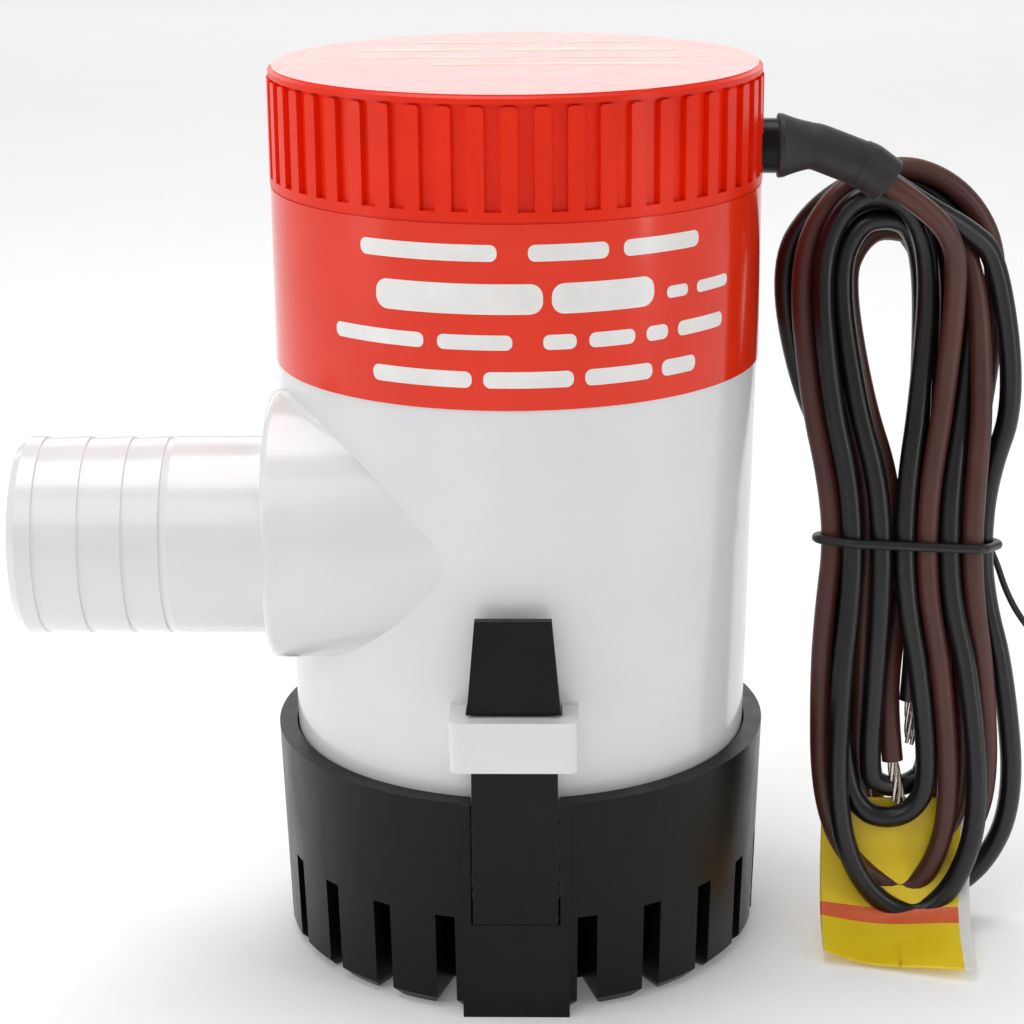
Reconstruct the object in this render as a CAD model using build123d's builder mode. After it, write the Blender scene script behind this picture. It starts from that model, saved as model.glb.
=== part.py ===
from build123d import *
import math
import os

# Submersible cartridge bilge pump, 12 V, for a 29 mm hose.
# The pump axis is Z and the floor is z = 0.  The hose outlet points along -X and the latches are
# on the -Y and +Y sides.  All sizes are in millimetres.

os.makedirs("parts", exist_ok=True)

# ------------------------------------------------------------------ driving dimensions
fit_gap = 0.3           # clearance between curved faces of different bodies
shaft_radius = 1.585    # 3.17 mm motor shaft
running_gap = 0.04      # radial clearance of the shaft in its bushings

# strainer base
base_rim_radius = 37.4
base_bottom_radius = 36.4
base_height = 33.4
base_bore_radius = 34.7
seat_height = 16.8          # top of the tooth ring, where the pump sits
tooth_inner_radius = 27.0
floor_thickness = 2.4
slot_width = 3.0
slot_height = 15.2
slot_positions = 22         # the two positions behind the latches stay closed
tooth_corner = 1.6
pad_width = 15.5
pad_face = 37.45
hull_screw_circle = 36.0
hull_screw_radius = 2.25

# latch tabs
latch_width = 12.3
latch_outer = 37.75
latch_thickness = 1.7
latch_hinge_height = 15.5
latch_tip_height = 61.5
latch_ledge_height = 48.0
latch_ledge_reach = 39.1
latch_head_width = 13.2
latch_tip_width = 10.6

# white housing
housing_bottom = 17.0
housing_shoulder = 98.0
housing_top = 110.0
housing_radius_low = 34.5   # at the height below
housing_radius_height = 37.0
housing_draft = 0.02        # growth of the radius per millimetre of height
wall = 2.3
neck_radius = 33.0
neck_bore_radius = 30.8
loop_bottom = 40.0
loop_top = 47.5
loop_half_width = 9.1
loop_slot_half_width = 6.8
loop_inner_face = 38.15
loop_outer_face = 41.3

# hose outlet
outlet_y = -18.9
outlet_z = 68.2
outlet_radius = 14.3
outlet_end = -71.5
outlet_bore = 12.0
barb_positions = (-68.0, -61.5, -55.3, -50.0)
barb_depth = 0.28
scroll_radius = 19.75
scroll_y = -13.5
scroll_end = -35.8

# cap and labels
cap_bottom = housing_shoulder
cap_top = 133.85
cap_skirt_radius = 35.7
cap_bore_radius = 33.15
cap_upper_bore = 31.9
cap_shoulder = 113.1
rib_bottom = 118.4
rib_top = 132.75
rib_radius = 35.95
rib_count = 50
groove_radius = 35.1
rim_radius = 35.75
cap_roof = 2.5
label_gap = 0.02
side_label_bottom = 91.1
side_label_top = 116.8
label_thickness = 0.15
top_label_radius = 35.2

# cable gland, boot and sleeve on the +X side
gland_z = 121.5
gland_radius = 4.0
gland_flange = 38.1
boot_radius = 4.7
boot_waist_radius = 3.4

# motor, its cup and the water parts
cup_radius = 20.7
cup_bore = 18.7
cup_floor = 43.0
can_radius = 18.0
can_bottom = 48.5
can_top = 98.5
magnet_inner = 13.3
armature_radius = 12.6
commutator_radius = 5.0
impeller_radius = 20.0
plate_bottom = 17.3
plate_top = 19.8
eye_radius = 10.0
plate_screw_circle = 54.0
plate_screw_turn = 90.0     # the first plate screw is on the +Y side

# wires, hank, tie and tag
wire_radius = 1.65
wire_spread = 1.67          # half the distance between the two wires at the sleeve
hank_lean = 7.5             # degrees the hank leans back
hank_foot = -6.0            # where its middle plane meets the floor
hank_depth = 10.0
tie_height = 61.0
tie_radius = 0.75

pieces = {}


def housing_radius(height):
    """Outer radius of the drafted housing wall at a height."""
    return housing_radius_low + (height - housing_radius_height) * housing_draft


def spun(angle, radius=0.0, height=0.0):
    """A place at a radius and height, turned about the pump axis."""
    return Location((0, 0, 0), (0, 0, angle)) * Location((radius, 0, height))


# ------------------------------------------------------------------ strainer base
slot_angles = [-90 + 360 / slot_positions * i for i in range(slot_positions) if i % 11 != 0]
side_facing = {"front": 0, "rear": 180}
hinge_y = latch_outer - latch_thickness / 2
slot_half = slot_width / 2

# an intake slot is open at the bottom, and the teeth beside it have rounded corners
with BuildSketch(Plane.YZ.offset(tooth_inner_radius - 0.6)) as slot_outline:
    with BuildLine():
        Polyline(
            (-slot_half, tooth_corner),
            (-slot_half, slot_height),
            (slot_half, slot_height),
            (slot_half, tooth_corner),
        )
        right = ThreePointArc(
            (slot_half, tooth_corner),
            (slot_half + 0.45, tooth_corner - 1.05),
            (slot_half + tooth_corner, -0.3),
        )
        left = ThreePointArc(
            (-slot_half, tooth_corner),
            (-slot_half - 0.45, tooth_corner - 1.05),
            (-slot_half - tooth_corner, -0.3),
        )
        Line(right @ 1, left @ 1)
    make_face()
slot_tool = extrude(slot_outline.sketch, amount=base_rim_radius - tooth_inner_radius + 2)

with BuildPart() as strainer_base:
    with BuildSketch(Plane.XZ) as base_wall:
        with BuildLine():
            Polyline(
                (0, 0),
                (base_bottom_radius - tooth_corner, 0),
                (base_bottom_radius, tooth_corner),
                (base_rim_radius, base_height),
                (0, base_height),
                close=True,
            )
        make_face()
    revolve(axis=Axis.Z)
    with Locations((0, pad_face / 2, 0), (0, -pad_face / 2, 0)):
        Box(pad_width, pad_face, base_height, align=(Align.CENTER, Align.CENTER, Align.MIN))
    # bore for the pump, and the inlet chamber under it
    with BuildSketch(Plane.XY.offset(seat_height)):
        Circle(base_bore_radius)
    extrude(amount=base_height, mode=Mode.SUBTRACT)
    with BuildSketch(Plane.XY.offset(floor_thickness)):
        Circle(tooth_inner_radius)
    extrude(amount=base_height, mode=Mode.SUBTRACT)
    # intake slots
    with Locations(*[spun(angle) for angle in slot_angles]):
        add(slot_tool, mode=Mode.SUBTRACT)
    # notch in the wall and groove at the root of each latch
    for turn in side_facing.values():
        notch_plane = Plane.XY.rotated((0, 0, turn)).offset(latch_hinge_height)
        with BuildSketch(notch_plane):
            with Locations((0, -base_bore_radius - 2)):
                Rectangle(latch_width + 2 * fit_gap, 2 * 2.7)
        extrude(amount=base_height, mode=Mode.SUBTRACT)
        with BuildSketch(Plane.YZ.rotated((0, 0, turn))):
            with Locations((-hinge_y, latch_hinge_height)):
                Circle(latch_thickness / 2 + 0.05)
        extrude(amount=latch_width / 2 + fit_gap, both=True, mode=Mode.SUBTRACT)
    # hull screw holes in the floor
    with BuildSketch(Plane.XY):
        with PolarLocations(hull_screw_circle / 2, 3, start_angle=30):
            Circle(hull_screw_radius)
    extrude(amount=floor_thickness, mode=Mode.SUBTRACT)
pieces["strainer_base"] = strainer_base

# ------------------------------------------------------------------ latch tabs
for side, turn in side_facing.items():
    with BuildPart() as latch_tab:
        with BuildSketch(Plane.YZ.rotated((0, 0, turn))):
            with BuildLine():
                root = ThreePointArc(
                    (-latch_outer, latch_hinge_height),
                    (-hinge_y, latch_hinge_height - latch_thickness / 2),
                    (-latch_outer + latch_thickness, latch_hinge_height),
                )
                Polyline(
                    root @ 1,
                    (-latch_outer + latch_thickness, 42),
                    (-latch_outer + latch_thickness - 0.9, latch_tip_height),
                    (-latch_ledge_reach + 0.75, latch_tip_height),
                    (-latch_ledge_reach, latch_ledge_height + 0.5),
                    (-latch_ledge_reach, latch_ledge_height),
                    (-latch_outer, latch_ledge_height),
                    root @ 0,
                )
            make_face()
        extrude(amount=latch_head_width / 2, both=True)
        with BuildSketch(Plane.XZ.rotated((0, 0, turn))):
            with BuildLine():
                Polyline(
                    (-latch_width / 2, 10),
                    (-latch_width / 2, latch_ledge_height - 0.6),
                    (-latch_head_width / 2, latch_ledge_height),
                    (-latch_tip_width / 2, latch_tip_height + 1),
                    (latch_tip_width / 2, latch_tip_height + 1),
                    (latch_head_width / 2, latch_ledge_height),
                    (latch_width / 2, latch_ledge_height - 0.6),
                    (latch_width / 2, 10),
                    close=True,
                )
            make_face()
        extrude(amount=60, mode=Mode.INTERSECT)
    pieces[f"{side}_latch_tab"] = latch_tab

# ------------------------------------------------------------------ housing
with BuildPart() as outlet:
    with BuildSketch(Plane.XY.offset(outlet_z)) as outlet_half:
        barb_line = [(outlet_end, outlet_y - outlet_radius + 1.0)]
        barb_line.append((outlet_end + 1.2, outlet_y - outlet_radius))
        for position in barb_positions:
            barb_line.append((position, outlet_y - outlet_radius))
            barb_line.append((position + 0.15, outlet_y - outlet_radius + barb_depth))
        barb_line.append((barb_positions[-1] + 1.2, outlet_y - outlet_radius))
        barb_line.append((scroll_end, outlet_y - outlet_radius))
        barb_line.append((-6.0, outlet_y - outlet_radius - 0.6))
        with BuildLine():
            Polyline(*barb_line, (-6.0, outlet_y), (outlet_end, outlet_y), close=True)
        make_face()
    revolve(axis=Axis((0, outlet_y, outlet_z), (1, 0, 0)))

with BuildPart() as scroll:
    with BuildSketch(Plane.YZ.offset(scroll_end)):
        with Locations((scroll_y, outlet_z)):
            Circle(scroll_radius)
    extrude(amount=-scroll_end - 5)
    fillet(scroll.edges().group_by(Axis.X)[0], radius=1.2)

with BuildPart() as latch_loops:
    for turn in side_facing.values():
        with BuildSketch(Plane.XY.rotated((0, 0, turn)).offset(loop_bottom)):
            with Locations((0, -loop_outer_face)):
                outline = Rectangle(
                    2 * loop_half_width, 8.6, align=(Align.CENTER, Align.MIN)
                )
            fillet(outline.vertices().group_by(Axis.Y)[0 if turn == 0 else -1], radius=1.5)
            with Locations((0, -loop_inner_face)):
                Rectangle(
                    2 * loop_slot_half_width,
                    8,
                    align=(Align.CENTER, Align.MIN),
                    mode=Mode.SUBTRACT,
                )
        extrude(amount=loop_top - loop_bottom)

with BuildPart() as pump_housing:
    with BuildSketch(Plane.XZ):
        with BuildLine():
            Polyline(
                (0, housing_bottom),
                (housing_radius(housing_bottom), housing_bottom),
                (housing_radius(housing_shoulder), housing_shoulder),
                (neck_radius, housing_shoulder),
                (neck_radius, housing_top),
                (0, housing_top),
                close=True,
            )
        make_face()
    revolve(axis=Axis.Z)
    add(scroll.part)
    add(outlet.part)
    # water space inside the wall
    with BuildSketch(Plane.XZ):
        with BuildLine():
            Polyline(
                (0, housing_bottom),
                (housing_radius(housing_bottom) - wall, housing_bottom),
                (housing_radius(92) - wall, 92),
                (neck_bore_radius, 95),
                (neck_bore_radius, housing_top),
                (0, housing_top),
                close=True,
            )
        make_face()
    revolve(axis=Axis.Z, mode=Mode.SUBTRACT)
    # scroll pocket and outlet bore
    with BuildSketch(Plane.YZ.offset(scroll_end + wall)):
        with Locations((scroll_y, outlet_z)):
            Circle(scroll_radius - wall - 0.2)
    extrude(amount=-scroll_end - wall - 6, mode=Mode.SUBTRACT)
    with BuildSketch(Plane.YZ.offset(outlet_end)):
        with Locations((outlet_y, outlet_z)):
            Circle(outlet_bore)
    extrude(amount=-outlet_end - 14, mode=Mode.SUBTRACT)
    add(latch_loops.part)
    # posts for the inlet plate screws, joined to the wall
    for index in range(3):
        post_plane = Plane.XY.rotated((0, 0, plate_screw_turn + 120 * index)).offset(plate_top)
        with BuildSketch(post_plane):
            with Locations((plate_screw_circle / 2, 0)):
                Circle(2.8)
            with Locations((plate_screw_circle / 2, 0)):
                Rectangle(6, 3, align=(Align.MIN, Align.CENTER))
        extrude(amount=11)
        with BuildSketch(post_plane):
            with Locations((plate_screw_circle / 2, 0)):
                Circle(1.25)
        extrude(amount=9.5, mode=Mode.SUBTRACT)
    # groove for the cap seal
    with BuildSketch(Plane.XZ):
        with Locations((neck_radius, 105)):
            Rectangle(2 * 1.4, 1.9)
    revolve(axis=Axis.Z, mode=Mode.SUBTRACT)

# the barbed tube of the outlet, joined to the housing at the scroll's end face
with BuildPart() as outlet_spigot:
    add(pump_housing.part)
    split(bisect_by=Plane.YZ.offset(scroll_end), keep=Keep.BOTTOM)
pieces["outlet_spigot"] = outlet_spigot

with pump_housing:
    split(bisect_by=Plane.YZ.offset(scroll_end), keep=Keep.TOP)
pieces["pump_housing"] = pump_housing

with BuildPart() as cap_seal:
    with BuildSketch(Plane.XZ):
        with Locations((32.38, 105)):
            Circle(0.75)
    revolve(axis=Axis.Z)
pieces["cap_seal"] = cap_seal

# ------------------------------------------------------------------ inlet plate and screws
with BuildPart() as inlet_plate:
    with BuildSketch(Plane.XY.offset(plate_bottom)):
        Circle(31.5)
        Circle(eye_radius, mode=Mode.SUBTRACT)
    extrude(amount=plate_top - plate_bottom)
    fillet(inlet_plate.edges().filter_by(GeomType.CIRCLE).sort_by(SortBy.RADIUS)[0:1], radius=0.8)
    with Locations(Plane.XY.offset(plate_bottom)):
        with PolarLocations(plate_screw_circle / 2, 3, start_angle=plate_screw_turn):
            Cylinder(2.9, 1.5, align=(Align.CENTER, Align.CENTER, Align.MIN), mode=Mode.SUBTRACT)
            Cylinder(1.6, 4, align=(Align.CENTER, Align.CENTER, Align.MIN), mode=Mode.SUBTRACT)
pieces["inlet_plate"] = inlet_plate

with BuildPart() as plate_screws:
    with Locations(Plane.XY.offset(plate_bottom + 0.1)):
        with PolarLocations(plate_screw_circle / 2, 3, start_angle=plate_screw_turn):
            Cylinder(2.6, 1.4, align=(Align.CENTER, Align.CENTER, Align.MIN))
            Cylinder(1.25, 10.5, align=(Align.CENTER, Align.CENTER, Align.MIN))
            Box(3.4, 0.7, 0.7, align=(Align.CENTER, Align.CENTER, Align.MIN), mode=Mode.SUBTRACT)
            Box(0.7, 3.4, 0.7, align=(Align.CENTER, Align.CENTER, Align.MIN), mode=Mode.SUBTRACT)
pieces["plate_screws"] = plate_screws

# ------------------------------------------------------------------ motor cup
with BuildPart() as motor_cup:
    with BuildSketch(Plane.XZ):
        with BuildLine():
            Polyline(
                (2.2, 34.5),
                (7.0, 34.5),
                (7.0, cup_floor),
                (cup_radius - 2, cup_floor),
                (cup_radius, cup_floor + 2),
                (cup_radius, cap_shoulder - 0.1),
                (cup_bore, cap_shoulder - 0.1),
                (cup_bore, cup_floor + 3),
                (2.2, cup_floor + 3),
                close=True,
            )
        make_face()
    revolve(axis=Axis.Z)
    with Locations((0, 0, 34.5)):
        Cylinder(5.6, 5.5, align=(Align.CENTER, Align.CENTER, Align.MIN), mode=Mode.SUBTRACT)
pieces["motor_cup"] = motor_cup

# clamping ring round the top of the cup, held between the housing's neck and the cap
with BuildPart() as motor_ring:
    with BuildSketch(Plane.XY.offset(housing_top + 0.8)):
        Circle(32.7)
        Circle(cup_radius, mode=Mode.SUBTRACT)
    extrude(amount=cap_shoulder - 0.1 - housing_top - 0.8)
pieces["motor_ring"] = motor_ring

with BuildPart() as cup_gasket:
    with BuildSketch(Plane.XY.offset(housing_top)):
        Circle(32.7)
        Circle(neck_bore_radius + 0.2, mode=Mode.SUBTRACT)
    extrude(amount=0.8)
pieces["cup_gasket"] = cup_gasket

with BuildPart() as shaft_seal:
    with BuildSketch(Plane.XZ):
        with BuildLine():
            Polyline(
                (shaft_radius + running_gap, 36.6),
                (3.2, 36.2),
                (5.6, 36.2),
                (5.6, 40.0),
                (3.4, 40.0),
                (3.0, 38.0),
                (shaft_radius + running_gap, 37.2),
                close=True,
            )
        make_face()
    revolve(axis=Axis.Z)
pieces["shaft_seal"] = shaft_seal

with BuildPart() as seal_retainer:
    with BuildSketch(Plane.XY.offset(34.8)):
        Circle(5.6)
        Circle(2.4, mode=Mode.SUBTRACT)
    extrude(amount=1.4)
pieces["seal_retainer"] = seal_retainer

# ------------------------------------------------------------------ cap
rib_pitch = 360 / rib_count
rib_width = math.radians(rib_pitch) * rib_radius / 2

# a grip rib has a rounded top
with BuildSketch(Plane.YZ.offset(groove_radius - 0.4)) as rib_face:
    with Locations((0, rib_bottom - 0.3)):
        rib_outline = Rectangle(
            rib_width, rib_top - rib_bottom, align=(Align.CENTER, Align.MIN)
        )
    fillet(rib_outline.vertices().group_by(Axis.Z)[-1], radius=0.6)
rib_blank = extrude(rib_face.sketch, amount=rib_radius - groove_radius + 0.4)

with BuildPart() as cap:
    with BuildSketch(Plane.XZ):
        with BuildLine():
            Polyline(
                (0, cap_top),
                (rim_radius - 0.4, cap_top),
                (rim_radius, cap_top - 0.35),
                (rim_radius, rib_top),
                (groove_radius, rib_top),
                (groove_radius, rib_bottom),
                (rib_radius, rib_bottom),
                (rib_radius, side_label_top + 0.3),
                (cap_skirt_radius, side_label_top + 0.3),
                (cap_skirt_radius, cap_bottom + 0.3),
                (cap_skirt_radius - 0.3, cap_bottom),
                (cap_bore_radius, cap_bottom),
                (cap_bore_radius, cap_shoulder),
                (cap_upper_bore, cap_shoulder),
                (cap_upper_bore, cap_top - cap_roof),
                (0, cap_top - cap_roof),
                close=True,
            )
        make_face()
    revolve(axis=Axis.Z)
    # grip ribs
    with Locations(*[spun(rib_pitch * i + rib_pitch / 2) for i in range(rib_count)]):
        add(rib_blank)
    with Locations(Location((30, 0, gland_z), (0, 90, 0))):
        Cylinder(
            gland_radius + 0.05, 10, align=(Align.CENTER, Align.CENTER, Align.MIN), mode=Mode.SUBTRACT
        )
pieces["cap"] = cap

with BuildPart() as top_label:
    with BuildSketch(Plane.XY.offset(cap_top)):
        Circle(top_label_radius)
    extrude(amount=label_thickness)
pieces["top_label"] = top_label

with BuildPart() as side_label:
    with BuildSketch(Plane.XY.offset(side_label_bottom)):
        Circle(cap_skirt_radius + label_gap + label_thickness)
        Circle(cap_skirt_radius + label_gap, mode=Mode.SUBTRACT)
    extrude(amount=side_label_top - side_label_bottom)
pieces["side_label"] = side_label

# ------------------------------------------------------------------ gland, boot and sleeve
boot_turn = Vector(43.6, 0, 121.4)
boot_end = Vector(50.3, 0, 118.8)
sleeve_end = Vector(54.4, 0, 116.1)
boot_direction = (boot_end - boot_turn).normalized()
sleeve_turn = boot_end + boot_direction * 1.2
exit_direction = (sleeve_end - sleeve_turn).normalized()

with BuildPart() as cable_gland:
    with BuildSketch(Plane.YZ.offset(29.6)):
        with Locations((0, gland_z)):
            Circle(5.6)
    extrude(amount=1.7)
    with BuildSketch(Plane.YZ.offset(29.6)):
        with Locations((0, gland_z)):
            Circle(gland_radius)
    extrude(amount=gland_flange - 29.6)
    with BuildSketch(Plane.YZ.offset(29.6)):
        with Locations((0, gland_z)):
            Circle(2.9)
    extrude(amount=3.0, mode=Mode.SUBTRACT)
pieces["cable_gland"] = cable_gland

with BuildPart() as strain_relief_boot:
    with BuildSketch(Plane.XZ):
        with BuildLine():
            Polyline(
                (gland_flange, gland_z),
                (gland_flange, gland_z + boot_radius - 0.15),
                (gland_flange + 0.2, gland_z + boot_radius),
            )
            shoulder = Line(
                (gland_flange + 0.2, gland_z + boot_radius),
                (gland_flange + 0.9, gland_z + boot_radius - 0.1),
            )
            flare = ThreePointArc(
                shoulder @ 1,
                (gland_flange + 3.0, gland_z + boot_waist_radius + 0.45),
                (boot_turn.X - 0.6, gland_z + boot_waist_radius),
            )
            Polyline(flare @ 1, (boot_turn.X - 0.6, gland_z), (gland_flange, gland_z))
        make_face()
    revolve(axis=Axis((0, 0, gland_z), (1, 0, 0)))
    with BuildLine() as boot_path:
        FilletPolyline((boot_turn.X - 2.6, 0, gland_z), boot_turn, boot_end, radius=6)
    with BuildSketch(Plane(boot_path.line @ 0, z_dir=boot_path.line % 0)):
        Circle(boot_waist_radius)
    sweep(path=boot_path.line)
pieces["strain_relief_boot"] = strain_relief_boot

with BuildPart() as wire_sleeve:
    with BuildLine() as sleeve_path:
        FilletPolyline(boot_end, sleeve_turn, sleeve_end, radius=3)
    with BuildSketch(Plane(boot_end, z_dir=boot_direction)):
        Circle(boot_waist_radius + 0.12)
    sweep(path=sleeve_path.line)
    sleeve_mouth = wire_sleeve.faces().filter_by(GeomType.PLANE).sort_by(Axis.X)[-1]
    fillet(sleeve_mouth.edges(), radius=0.3)
pieces["wire_sleeve"] = wire_sleeve

# ------------------------------------------------------------------ motor
with BuildPart() as motor_can:
    with BuildSketch(Plane.XZ):
        with BuildLine():
            Polyline(
                (4.0, 46.2),
                (6.0, 46.2),
                (6.0, can_bottom),
                (can_radius, can_bottom),
                (can_radius, can_top),
                (can_radius - 1.5, can_top),
                (can_radius - 1.5, can_bottom + 1.5),
                (4.0, can_bottom + 1.5),
                close=True,
            )
        make_face()
    revolve(axis=Axis.Z)
pieces["motor_can"] = motor_can

with BuildPart() as lower_bushing:
    with BuildSketch(Plane.XY.offset(46.2)):
        Circle(4.0)
        Circle(shaft_radius + running_gap, mode=Mode.SUBTRACT)
    extrude(amount=4.8)
pieces["lower_bushing"] = lower_bushing

with BuildPart() as field_magnets:
    for facing in (0, 180):
        with BuildSketch(Plane.XY.rotated((0, 0, facing)).offset(55)):
            with BuildLine():
                outer = CenterArc((0, 0), can_radius - 1.55, 24, 132)
                inner = CenterArc((0, 0), magnet_inner, 24, 132)
                Line(outer @ 0, inner @ 0)
                Line(outer @ 1, inner @ 1)
            make_face()
        extrude(amount=32)
pieces["field_magnets"] = field_magnets

brush_z = 91.0
brush_size = (4.5, 3.6, 4.0)
with BuildPart() as motor_end_bell:
    with BuildSketch(Plane.XY.offset(can_top)):
        Circle(can_radius)
    extrude(amount=3)
    with BuildSketch(Plane.XY.offset(can_top - 3.5)):
        Circle(can_radius - 1.6)
        Circle(can_radius - 3.6, mode=Mode.SUBTRACT)
    extrude(amount=3.5)
    with BuildSketch(Plane.XY.offset(can_top + 3)):
        Circle(6)
    extrude(amount=3)
    # brush holders hang from the bell on both sides of the commutator
    with BuildSketch(Plane.XY.offset(brush_z - 3.2)):
        with PolarLocations(commutator_radius + 3.4, 2):
            Rectangle(brush_size[0], brush_size[1] + 2.4)
    extrude(amount=can_top - brush_z + 3.2)
    with Locations((0, 0, brush_z)):
        Box(40, brush_size[1] + 0.1, brush_size[2] + 0.1, mode=Mode.SUBTRACT)
    with Locations((0, 0, can_top - 1)):
        Cylinder(
            4.0, 8.0, align=(Align.CENTER, Align.CENTER, Align.MIN), mode=Mode.SUBTRACT
        )
    with Locations((0, 0, can_top - 12)):
        Cylinder(
            commutator_radius + 0.6, 12, align=(Align.CENTER, Align.CENTER, Align.MIN), mode=Mode.SUBTRACT
        )
    # slits for the brush arms
    with Locations((11.2, 0, can_top), (-11.2, 0, can_top)):
        Box(0.5, 3.2, 8, mode=Mode.SUBTRACT)
pieces["motor_end_bell"] = motor_end_bell

with BuildPart() as upper_bushing:
    with BuildSketch(Plane.XY.offset(can_top)):
        Circle(4.0)
        Circle(shaft_radius + running_gap, mode=Mode.SUBTRACT)
    extrude(amount=5)
pieces["upper_bushing"] = upper_bushing

with BuildPart() as carbon_brushes:
    with PolarLocations(commutator_radius + 0.05, 2):
        with Locations((0, 0, brush_z)):
            Box(*brush_size, align=(Align.MIN, Align.CENTER, Align.CENTER))
    with Locations((0, 0, brush_z)):
        Cylinder(commutator_radius + 0.05, 10, mode=Mode.SUBTRACT)
pieces["carbon_brushes"] = carbon_brushes

with BuildPart() as brush_arms:
    with BuildSketch(Plane.XZ):
        with BuildLine():
            Polyline(
                (9.6, brush_z - 1.5),
                (9.9, brush_z - 1.5),
                (11.1, brush_z + 1.8),
                (11.35, can_top - 3),
                (11.35, 107),
                (11.05, 107),
                (11.05, can_top - 3),
                (10.8, brush_z + 1.8),
                close=True,
            )
        make_face()
    extrude(amount=1.5, both=True)
    mirror(about=Plane.YZ)
pieces["brush_arms"] = brush_arms

with BuildPart() as suppression_capacitor:
    with BuildSketch(Plane.XZ):
        with Locations((0, 108.6)):
            Ellipse(4.6, 3.2)
    extrude(amount=1.3, both=True)
    with Locations((3.2, 0, 105.2), (-3.2, 0, 105.2)):
        Cylinder(0.3, 2.6)
    fillet(suppression_capacitor.edges().filter_by(GeomType.ELLIPSE), radius=0.5)
pieces["suppression_capacitor"] = suppression_capacitor

with BuildPart() as motor_cushion:
    with BuildSketch(Plane.XY.offset(can_top + 3)):
        Circle(can_radius)
        Circle(can_radius - 3, mode=Mode.SUBTRACT)
    extrude(amount=3)
pieces["motor_cushion"] = motor_cushion

# wires inside the cap, from the brush arms to the gland
inner_routes = {
    "inner_brown_lead": [(12.3, 0, 106), (14.5, -1.6, 114), (22, -1.3, 121.5), (32.5, -1.3, 121.5)],
    "inner_black_lead": [
        (-12.6, 0.5, 104.5), (-12.3, 3.5, 112.5), (2, 5.5, 118), (20, 1.7, 121.5), (32.5, 1.3, 121.5)
    ],
}
for label, route in inner_routes.items():
    with BuildPart() as inner_lead:
        with BuildLine() as inner_path:
            FilletPolyline(*route, radius=3)
        with BuildSketch(Plane(inner_path.line @ 0, z_dir=inner_path.line % 0)):
            Circle(0.95)
        sweep(path=inner_path.line)
    pieces[label] = inner_lead

# ------------------------------------------------------------------ rotor
with BuildPart() as motor_shaft:
    with Locations((0, 0, 22)):
        Cylinder(shaft_radius, 81, align=(Align.CENTER, Align.CENTER, Align.MIN))
    chamfer(motor_shaft.edges().filter_by(GeomType.CIRCLE), length=0.3)
pieces["motor_shaft"] = motor_shaft

with BuildPart() as armature_core:
    with BuildSketch(Plane.XY.offset(58)) as lamination:
        Circle(armature_radius)
        Circle(shaft_radius, mode=Mode.SUBTRACT)
        with PolarLocations(8.2, 5):
            Circle(2.7, mode=Mode.SUBTRACT)
        with PolarLocations(11.6, 5):
            Rectangle(3, 1.6, mode=Mode.SUBTRACT)
    extrude(amount=26)
pieces["armature_core"] = armature_core

with BuildPart() as armature_windings:
    with BuildSketch(Plane.XY.offset(54.5)):
        with PolarLocations(8.2, 5):
            Circle(2.6)
    extrude(amount=33)
    # rounded end turns above and below the core
    with BuildSketch(Plane.XZ):
        with Locations((8.1, 56.2), (8.1, 85.8)):
            RectangleRounded(5.4, 3.4, 0.9)
    revolve(axis=Axis.Z)
pieces["armature_windings"] = armature_windings

with BuildPart() as commutator:
    with BuildSketch(Plane.XY.offset(88)):
        Circle(commutator_radius)
        Circle(shaft_radius, mode=Mode.SUBTRACT)
        with PolarLocations(commutator_radius, 5, start_angle=36):
            Rectangle(1.2, 0.4, mode=Mode.SUBTRACT)
    extrude(amount=6.5)
pieces["commutator"] = commutator

with BuildPart() as thrust_washer:
    with BuildSketch(Plane.XY.offset(51.1)):
        Circle(4.2)
        Circle(shaft_radius, mode=Mode.SUBTRACT)
    extrude(amount=0.6)
pieces["thrust_washer"] = thrust_washer

with BuildPart() as impeller:
    with BuildSketch(Plane.XY.offset(21)):
        Circle(4.2)
    extrude(amount=11)
    with BuildSketch(Plane.XY.offset(29.5)):
        Circle(impeller_radius)
    extrude(amount=1.6)
    with BuildSketch(Plane.XY.offset(21)):
        for index in range(6):
            with Locations(Location((0, 0, 0), (0, 0, 60 * index)) * Location((3.0, 1.5, 0), (0, 0, -31))):
                Rectangle(16.9, 1.5, align=(Align.MIN, Align.CENTER))
    extrude(amount=8.6)
    with Locations((0, 0, 22)):
        Cylinder(
            shaft_radius, 12, align=(Align.CENTER, Align.CENTER, Align.MIN), mode=Mode.SUBTRACT
        )
pieces["impeller"] = impeller

# ------------------------------------------------------------------ wires outside the pump
# The two wires leave the sleeve side by side and join the hank behind it.
lead_routes = {  # where it joins the hank, its side of the sleeve, and its straight run
    "brown_lead": (Vector(64.2, 2.9, 101.6), -wire_spread, 9.0),
    "black_lead": (Vector(62.8, 6.3, 102.0), wire_spread, 7.5),
}
for label, (entry, shift, lead_run) in lead_routes.items():
    start = sleeve_end + Vector(0, shift, 0)
    corner = start + exit_direction * lead_run
    half_turn = math.radians((corner - start).get_angle(entry - corner)) / 2
    shorter_run = min((corner - start).length, (entry - corner).length)
    bend_radius = 0.45 * shorter_run / math.tan(half_turn)
    with BuildPart() as lead:
        with BuildLine() as lead_path:
            FilletPolyline(start, corner, entry, radius=bend_radius)
        with BuildSketch(Plane(start, z_dir=exit_direction)):
            Circle(wire_radius)
        sweep(path=lead_path.line)
    pieces[label] = lead
    tube_length = lead_path.wires()[0].length
    expected = math.pi * wire_radius**2 * tube_length
    print(f"{label}: bend radius {bend_radius:.1f} mm, length {tube_length:.1f} mm, "
          f"volume {lead.part.volume / expected:.4f} of section times length")

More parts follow.
